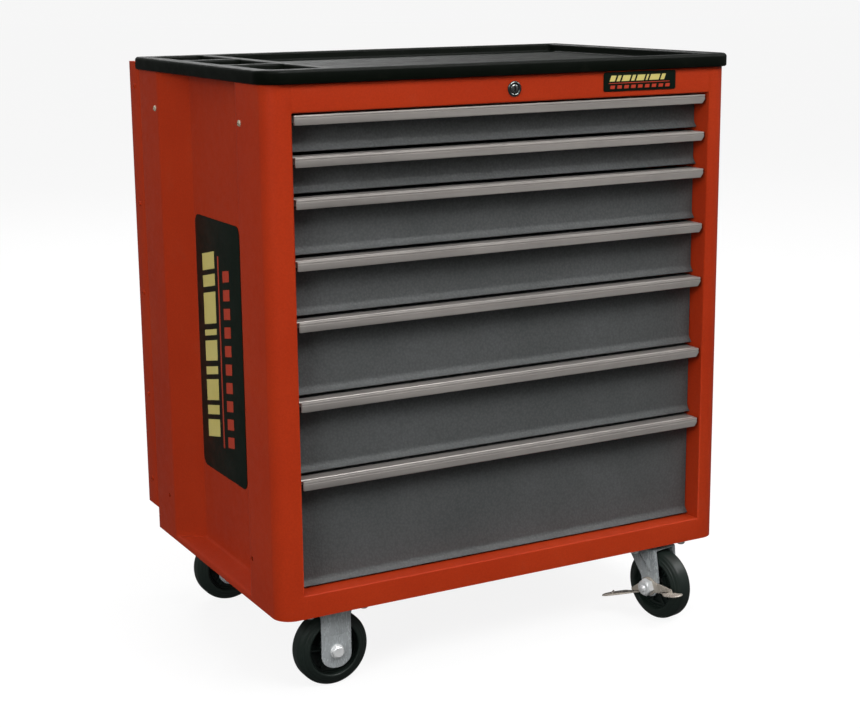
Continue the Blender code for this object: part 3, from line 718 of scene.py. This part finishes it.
def hex_head(r, z0, z1, phase=0.0, bore=0.0):
    """Hexagon between z0 and z1 with its corners turned off on the z1 side."""
    s = math.copysign(1.0, z1 - z0)
    d = min(3.2, abs(z1 - z0) * 0.4)
    cone = loft([[(rr * math.cos(2 * math.pi * i / 48), rr * math.sin(2 * math.pi * i / 48), z) for i in range(48)]
                 for rr, z in ((r * 1.3, z0), (r * 1.3, z1 - s * d * 1.2), (r * 1.02, z1 - s * d), (r * 0.74, z1))])
    return combine(disc("z", 0, 0, r, min(z0, z1), max(z0, z1), 6, phase), cone, "INTERSECT")


heads = []
for sx in (-1.0, 1.0):
    for y, z in ((380.0, 615.0), (80.0, 616.0)):
        m = Matrix.Translation((sx * HALF, y, z)) @ Matrix.Rotation(math.radians(90.0 * sx), 4, "Y")
        heads.append(move(cross_head(4.2, 2.4), m))
piece("side_screws", join(*heads), SCREW, "root")
heads = []
for sx in (-1.0, 1.0):
    for z in (641.0, 476.0, 347.0, 197.0, 69.0):
        m = Matrix.Translation((sx * HALF, 461.0, z)) @ Matrix.Rotation(math.radians(90.0 * sx), 4, "Y")
        heads.append(move(cross_head(3.6, 1.9), m))
piece("cover_screws", join(*heads), RED, "root")

# ---------------------------------------------------------------- casters
AXLE_Z, LEG_IN, LEG_OUT, TRAIL = FLOOR + 50.0, 18.8, 21.6, 30.0
tyre_profile = [(33.2, -5.6), (33.8, -10.5), (34.4, -14.4), (35.0, -15.5), (36.2, -16.0), (37.6, -15.9), (38.3, -15.4),
                (38.9, -14.9), (41.4, -14.6), (42.0, -14.2), (42.3, -13.3), (42.9, -12.9), (45.7, -12.3), (46.3, -11.8),
                (46.7, -11.0), (48.0, -10.4), (49.3, -9.0), (49.9, -7.2), (50.0, -5.0)]
tyre_profile += [(r, -h) for r, h in reversed(tyre_profile)]


def tyre():
    return turned(tyre_profile, 96)


def hub():
    """Web with six deep pockets a side, ribs between them, and a long sleeve on the bore."""
    web = turned([(5.3, -17.4), (9.6, -17.4), (10.6, -16.6), (11.4, -7.0), (13.0, -5.4), (15.5, -4.6), (29.0, -4.6),
                  (31.0, -5.6), (32.0, -8.4), (34.1, -8.4), (34.1, 8.4), (32.0, 8.4), (31.0, 5.6), (29.0, 4.6),
                  (15.5, 4.6), (13.0, 5.4), (11.4, 7.0), (10.6, 16.6), (9.6, 17.4), (5.3, 17.4)], 72)
    holes = []
    for i in range(6):
        a0 = math.radians(60.0 * i + 13.0)
        a1 = math.radians(60.0 * i + 47.0)
        pts = [(17.0 * math.cos(a0 + (a1 - a0) * j / 6), 17.0 * math.sin(a0 + (a1 - a0) * j / 6)) for j in range(7)]
        pts += [(28.0 * math.cos(a1 - (a1 - a0) * j / 8), 28.0 * math.sin(a1 - (a1 - a0) * j / 8)) for j in range(9)]
        ring = soften(pts, [2.0] + [0] * 5 + [2.0, 2.5] + [0] * 7 + [2.5], 3, True)
        holes += [prism(ring, "z", -10.0, -1.1), prism(ring, "z", 1.1, 10.0)]
    web = cut(web, join(*holes))
    ribs = []
    for i in range(6):
        m = Matrix.Rotation(math.radians(60.0 * i), 4, "Z")
        for s in (-1.0, 1.0):
            pts = [(10.0, s * 4.0), (10.0, s * 11.5), (12.5, s * 9.5), (31.8, s * 7.4), (31.8, s * 4.0)]
            ribs.append(move(prism(pts, "y", -1.1, 1.1), m))
    return join(web, *ribs)


def axle_bolt(head_r, head0, head1, nut_r, nut0, nut1, tip):
    shank = spun([(0.0, head0 - 0.5), (4.95, head0 - 0.5), (4.95, tip - 3.6), (5.0, tip - 3.4), (4.6, tip - 2.6),
                  (4.3, tip - 1.4), (3.2, tip - 0.4), (0.0, tip)], 36)
    washer = turned([(5.2, head0), (head_r + 1.0, head0), (head_r + 1.0, head0 - 0.9), (5.2, head0 - 0.9)], 48)
    return join(shank, washer, hex_head(head_r, head0 - 0.8, head1, math.radians(15.0)),
                hex_head(nut_r, nut0, nut1, math.radians(8.0)))


def plate_bolts(m, spots):
    """Hexagon heads and washers below a caster plate."""
    out = []
    for i, (x, y) in enumerate(spots):
        h = join(turned([(2.0, -3.3), (7.6, -3.3), (7.6, -4.4), (2.0, -4.4)], 36),
                 hex_head(6.0, -4.3, -8.8, math.radians(17.0 * i)))
        out.append(move(h, m @ Matrix.Translation((x, y, 0.0))))
    return join(*out)


for name, cx, cy in (("front_left", -252.0, 46.0), ("rear_left", -252.0, 400.0)):
    foot = [(21.0, -2.0), (21.0, AXLE_Z - 6.0)]
    for i in range(1, 18):
        a = math.radians(-i * 10.0)
        foot.append((21.0 * math.cos(a), AXLE_Z - 6.0 + 17.0 * math.sin(a)))
    foot += [(-21.0, AXLE_Z - 6.0), (-21.0, -2.0)]
    # shoulders widen into the plate
    top = [(-30.0, -2.0), (-27.0, -5.0), (-23.0, -9.0), (-21.0, -16.0)]
    foot = [(30.0, -2.0), (27.0, -5.0), (23.0, -9.0), (21.0, -16.0)] + foot[1:-1] + list(reversed(top))
    at = Matrix.Translation((cx, cy, 0.0))
    plate = slab(rounded(-47.5, 47.5, -33.5, 33.5, 6.0, 6), "z", -3.3, -0.3, 0.6)
    parts = [plate]
    for s in (-1.0, 1.0):
        lo, hi = (LEG_IN, LEG_OUT) if s > 0 else (-LEG_OUT, -LEG_IN)
        parts.append(cut(slab(foot, "y", lo, hi, 0.6), disc("y", 0.0, AXLE_Z, 5.3, -40.0, 40.0, 36)))
        # rounded bend between plate and leg
        pts = [(s * (LEG_IN - 4.0), -3.2), (s * (LEG_OUT - 0.2), -3.2), (s * (LEG_OUT - 0.2), -7.0), (s * LEG_IN, -7.0),
               (s * (LEG_IN - 1.2), -4.4)]
        parts.append(prism(pts, "x", -25.0, 25.0))
        # stiffening bead along the leg
        bead = loft([[(x, s * (LEG_OUT + y - 0.05), z) for x, z in offset(rounded(-13.0, 13.0, -40.0, -15.0, 5.0, 5), d, True)]
                     for y, d in ((-0.3, 0.0), (0.0, 0.0), (0.8, 1.8))])
        parts.append(bead)
    frame_bm = move(join(*parts), at)
    piece("caster_%s_frame" % name, frame_bm, BRACKET, "root", ["caster_%s_bracket" % name], sharp=38)
    piece("caster_%s_plate_bolts" % name, plate_bolts(at, [(-38, -25), (38, -25), (38, 25), (-38, 25)]),
          BOLT, "root")
    lay = Matrix.Translation((cx, cy, AXLE_Z)) @ Matrix.Rotation(math.radians(90.0), 4, "X")
    body = "wheel_" + name
    piece("caster_%s_tyre" % name, move(tyre(), lay), TYRE, body, ["caster_%s_wheel" % name])
    piece("caster_%s_hub" % name, move(hub(), lay), HUB, body)
    bolt = axle_bolt(8.6, -LEG_OUT - 0.3, -LEG_OUT - 6.7, 8.6, LEG_OUT + 0.3, LEG_OUT + 6.7, LEG_OUT + 9.3)
    piece("caster_%s_axle_bolt" % name, move(bolt, lay @ Matrix.Rotation(math.pi, 4, "X")), BOLT, "root",
          ["caster_%s_axle" % name])

for name, cx, cy in (("front_right", 250.0, 48.0), ("rear_right", 250.0, 396.0)):
    at = Matrix.Translation((cx, cy, 0.0))
    z1, z2 = -3.3, -7.0
    z3 = z2 - 0.3
    plate = join(slab(rounded(-47.5, 47.5, -40.0, 40.0, 6.0, 6), "z", z1, -0.3, 0.6),
                 turned([(8.0, z1 + 0.2), (8.0, z2), (21.0, z2), (23.4, z2 + 0.5), (24.0, z2 + 1.6), (26.5, z1 - 0.4),
                         (29.0, z1 + 0.2)], 72))
    piece("caster_%s_top" % name, move(plate, at), BRACKET, "root", ["caster_%s_plate" % name])
    piece("caster_%s_plate_bolts" % name, plate_bolts(at, [(-40, -31), (40, -31), (40, 31), (-40, 31)]),
          BOLT, "root")

    turn = Matrix.Translation((cx, cy, 0.0)) @ Matrix.Rotation(math.radians(-79.0), 4, "Z") \
        @ Matrix.Scale(-1.0, 4, (0.0, 1.0, 0.0))
    leg = [(-16.0, z3 - 0.2), (38.0, z3 - 0.2), (39.5, -22.0), (43.5, -46.0), (45.0, AXLE_Z)]
    for i in range(1, 12):
        a = math.radians(-180.0 * i / 12)
        leg.append((TRAIL + 15.0 * math.cos(a), AXLE_Z + 15.0 * math.sin(a)))
    leg += [(TRAIL - 15.0, AXLE_Z), (14.0, -50.0), (-9.0, -20.0), (-16.0, -13.0)]
    leg = soften(leg, [0, 2.0, 5.0, 5.0, 3.0] + [0] * 11 + [3.0, 5.0, 6.0, 3.0], 4)
    parts = [slab(rounded(-20.0, 38.5, -LEG_OUT, LEG_OUT, 5.0, 6), "z", z3 - 2.5, z3, 0.6),
             cut(slab(leg, "y", -LEG_OUT, -LEG_IN, 0.6), disc("y", TRAIL, AXLE_Z, 5.3, -40.0, 40.0, 36)),
             cut(slab(leg, "y", LEG_IN, LEG_OUT, 0.6), disc("y", TRAIL, AXLE_Z, 5.3, -40.0, 40.0, 36)),
             turned([(0.6, z3 - 1.0), (7.6, z3 - 1.0), (7.6, z1 - 0.5), (7.0, z1 - 0.3), (0.6, z1 - 0.3)], 48),
             turned([(7.0, z3 + 0.05), (19.0, z3 + 0.05), (20.5, z3 - 2.0), (7.0, z3 - 2.0)], 60)]
    for s in (-1.0, 1.0):
        # pressed bead down the middle of each leg, and lips along its edges
        mid = [(4.0, -13.0), (20.0, -12.5), (29.0, -25.0), (35.5, -41.0), (25.0, -41.5), (14.0, -26.0)]
        rise = 1.5 if s < 0 else 1.3
        bead = loft([[(x, s * (LEG_OUT - 0.05 + y), z) for x, z in offset(soften(mid, 4.0, 4, True), -d, True)]
                     for y, d in ((-0.3, 0.0), (0.0, 0.0), (rise, 2.6))])
        parts.append(bead)
        lip = [(38.4, -9.0), (40.6, -21.8), (44.4, -45.0), (45.6, -60.0), (44.2, -60.0), (42.6, -46.0), (38.6, -23.0), (36.6, -9.0)]
        parts.append(slab(lip, "y", min(s * (LEG_IN - 1.6), s * (LEG_IN + 0.6)), max(s * (LEG_IN - 1.6), s * (LEG_IN + 0.6)), 0.3, 2))
    fork = join(*parts)
    piece("caster_%s_yoke" % name, move(fork, turn), BRACKET, "swivel_" + name,
          ["caster_%s_fork" % name], sharp=38)
    rivet = spun([(0.0, z3 - 6.5), (4.0, z3 - 6.2), (6.4, z3 - 4.6), (7.0, z3 - 2.4), (7.0, z3 - 2.0), (0.0, z3 - 2.0)], 40)
    piece("caster_%s_kingpin" % name, move(rivet, at), BOLT, "swivel_" + name)

    lay = turn @ Matrix.Translation((TRAIL, 0.0, AXLE_Z)) @ Matrix.Rotation(math.radians(-90.0), 4, "X")
    body = "wheel_" + name
    piece("caster_%s_tyre" % name, move(tyre(), lay), TYRE, body, ["caster_%s_wheel" % name])
    piece("caster_%s_hub" % name, move(hub(), lay), HUB, body)
    lin, lout = LEG_OUT + 0.4, LEG_OUT + 2.9
    bolt = axle_bolt(8.6, -LEG_OUT - 0.3, -LEG_OUT - 6.7, 12.2, lout + 0.4, lout + 10.4, lout + 14.6)
    piece("caster_%s_axle_bolt" % name, move(bolt, lay), BOLT, "swivel_" + name, ["caster_%s_axle" % name])

    rocker = [(-34.0, -9.0), (44.0, -9.0), (44.0, -3.0), (14.0, 6.0)]
    rocker += [(14.0 * math.cos(math.radians(a)), 14.0 * math.sin(math.radians(a))) for a in range(40, 141, 10)]
    rocker += [(-14.0, 6.0), (-34.0, -3.0)]
    web = slab(rocker, "y", lin, lout, 0.5, 2)
    front = [(20.0, lin + 0.4), (64.0, lin + 0.4), (68.0, lin + 8.0), (66.0, lin + 15.0), (58.0, lin + 18.5),
             (42.0, lin + 17.0), (24.0, lout - 0.4)]
    rear = [(-16.0, lin + 0.4), (-20.0, lout - 0.4), (-36.0, lin + 19.0), (-52.0, lin + 33.0), (-62.0, lin + 36.0),
            (-66.0, lin + 28.0), (-60.0, lin + 14.0), (-46.0, lin + 0.4)]
    treads = []
    for pts in (front, rear):
        ring = soften(pts, 3.2, 4, True)
        s = 1.0 if poly_area(ring) > 0 else -1.0
        # pressed plate: a thin rim folded down all round, and a raised pad with three grip ribs
        rows = [(-8.9, 1.4), (-9.5, 0.7), (-9.3, 0.1), (-8.4, 0.0), (-7.7, 0.3), (-7.3, 0.9), (-7.3, 2.2), (-6.6, 3.4)]
        treads.append(loft([[(x, y, z) for x, y in offset(ring, s * d, True)] for z, d in rows]))
    for x in (44.0, 49.0, 54.0):
        treads.append(slab(rounded(x - 1.1, x + 1.1, lin + 4.5, lin + 12.5, 1.0, 4), "z", -7.0, -5.9, 0.4, 2))
    for k in range(3):
        m = Matrix.Translation((-52.0 - 3.0 * k, lin + 24.0 - 4.5 * k, 0.0)) @ Matrix.Rotation(math.radians(42.0), 4, "Z")
        treads.append(move(slab(rounded(-4.5, 4.5, -1.1, 1.1, 1.0, 4), "z", -7.0, -5.9, 0.4, 2), m))
    # domed boss round the axle on the lever's outer face
    boss = turned([(5.3, 0.0), (13.0, 0.0), (12.7, 0.3), (5.3, 0.3)], 48)
    treads.append(move(boss, Matrix.Translation((0.0, lout - 0.1, 0.0)) @ Matrix.Rotation(math.radians(-90.0), 4, "X")))
    lever = join(cut(web, disc("y", 0.0, 0.0, 5.3, -5.0, 60.0, 36)), *treads)
    tilt = turn @ Matrix.Translation((TRAIL, 0.0, AXLE_Z)) @ Matrix.Rotation(math.radians(-13.0), 4, "Y")
    piece("caster_%s_brake_rocker" % name, move(lever, tilt), LEVER, "brake_" + name,
          ["caster_%s_brake_lever" % name], sharp=38)

# ---------------------------------------------------------------- floor, light, camera
scene = bpy.context.scene
scene.view_settings.view_transform = "Standard"

me = bpy.data.meshes.new("floor")
bm = bmesh.new()
verts = [bm.verts.new((x, y, 0.0)) for x, y in ((-40, -40), (40, -40), (40, 40), (-40, 40))]
bm.faces.new(verts)
bm.to_mesh(me)
bm.free()
floor = bpy.data.objects.new("floor", me)
scene.collection.objects.link(floor)
fm = Mat("floor_pale")
tone = fm.ramp(fm.noise(1.5, 3.0), [(0.3, (0.126, 0.126, 0.126)), (0.7, (0.130, 0.130, 0.130))])
fm.set(Base_Color=tone, Roughness=0.85, Metallic=0.0, Specular_IOR_Level=0.0,
       Emission_Color=(1.0, 1.0, 1.0, 1.0), Emission_Strength=0.876)
floor.visible_glossy = False
floor.visible_diffuse = False
me.materials.append(fm.m)
floor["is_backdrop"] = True

# a pale round backdrop far behind the floor's edge
bm = bmesh.new()
low = [bm.verts.new((32.0 * math.cos(math.pi * i / 48), 32.0 * math.sin(math.pi * i / 48), -0.2)) for i in range(96)]
high = [bm.verts.new((v.co.x, v.co.y, 30.0)) for v in low]
for i in range(96):
    bm.faces.new((low[i - 1], high[i - 1], high[i], low[i]))
me = bpy.data.meshes.new("backdrop")
bm.to_mesh(me)
bm.free()
backdrop = bpy.data.objects.new("backdrop", me)
scene.collection.objects.link(backdrop)
bd = Mat("backdrop_pale")
bd.set(Base_Color=(0.0, 0.0, 0.0, 1.0), Roughness=1.0, Specular_IOR_Level=0.0,
       Emission_Color=(1.0, 1.0, 1.0, 1.0), Emission_Strength=0.925)
me.materials.append(bd.m)
for ray in ("visible_glossy", "visible_diffuse", "visible_shadow", "visible_transmission"):
    setattr(backdrop, ray, False)
backdrop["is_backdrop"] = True

world = bpy.data.worlds.new("studio")
scene.world = world
world.use_nodes = True
wt = world.node_tree
bg = wt.nodes["Background"]
tc = wt.nodes.new("ShaderNodeTexCoord")
sep = wt.nodes.new("ShaderNodeSeparateXYZ")
mr = wt.nodes.new("ShaderNodeMapRange")
mr.inputs["From Min"].default_value = -1.0
wr = wt.nodes.new("ShaderNodeValToRGB")
wt.links.new(tc.outputs["Generated"], sep.inputs[0])
wt.links.new(sep.outputs["Z"], mr.inputs["Value"])
wt.links.new(mr.outputs["Result"], wr.inputs["Fac"])
stops = ((0.0, 0.14), (0.48, 0.20), (0.56, 0.30), (0.66, 0.46), (0.80, 0.56), (1.0, 0.80))
while len(wr.color_ramp.elements) < len(stops):
    wr.color_ramp.elements.new(0.5)
for e, (p, v) in zip(wr.color_ramp.elements, stops):
    e.position = p
    e.color = (v, v, v, 1.0)
wt.links.new(wr.outputs["Color"], bg.inputs["Color"])
bg.inputs["Strength"].default_value = 0.60


def softbox(name, at, aim, size, size_y, watts, color=(1.0, 1.0, 1.0)):
    ld = bpy.data.lights.new(name, "AREA")
    ld.shape = "RECTANGLE"
    ld.size, ld.size_y, ld.energy, ld.color = size, size_y, watts, color
    lo = bpy.data.objects.new(name, ld)
    lo.location = at
    lo.rotation_mode = "QUATERNION"
    lo.rotation_quaternion = (Vector(aim) - Vector(at)).to_track_quat("-Z", "Y")
    lo.visible_camera = False
    scene.collection.objects.link(lo)
    return lo


softbox("key", (0.7, -2.7, 3.3), (0.0, 0.0, 0.35), 2.2, 1.4, 97.0)
softbox("front_left", (-2.5, -2.7, 2.9), (0.0, 0.0, 0.35), 1.5, 1.5, 16.0)
low = softbox("left_low", (-3.0, -1.9, 1.5), (0.0, 0.0, 0.4), 1.2, 1.2, 57.0)
low.visible_glossy = False
fill = softbox("left_fill", (-3.4, -0.5, 1.1), (-0.3, 0.0, 0.5), 1.8, 1.6, 3.0)
fill.visible_glossy = False
softbox("top", (0.3, 0.4, 3.6), (0.0, 0.0, 0.4), 2.6, 2.0, 48.0)
softbox("right", (3.0, -1.2, 2.7), (0.0, 0.0, 0.4), 1.3, 1.6, 37.0)
softbox("back", (0.6, 3.2, 2.9), (0.0, 0.0, 0.4), 2.0, 1.4, 54.0)

cam = bpy.data.cameras.new("photo_view")
cam.sensor_width = 36.0
cam.lens = 70.16664
cam.shift_y = -0.03
cam.clip_start, cam.clip_end = 0.05, 200.0
co = bpy.data.objects.new("photo_view", cam)
rx, up, bk = (0.8771779, -0.4800744, -0.0093511), (0.1095194, 0.1810734, 0.9773525), (-0.4675087, -0.8583362, 0.211411)
co.matrix_world = Matrix(((rx[0], up[0], bk[0], -1.11326), (rx[1], up[1], bk[1], -2.02969),
                          (rx[2], up[2], bk[2], 0.90016), (0.0, 0.0, 0.0, 1.0)))
scene.collection.objects.link(co)
scene.camera = co

bpy.context.view_layer.update()
lo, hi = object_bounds()
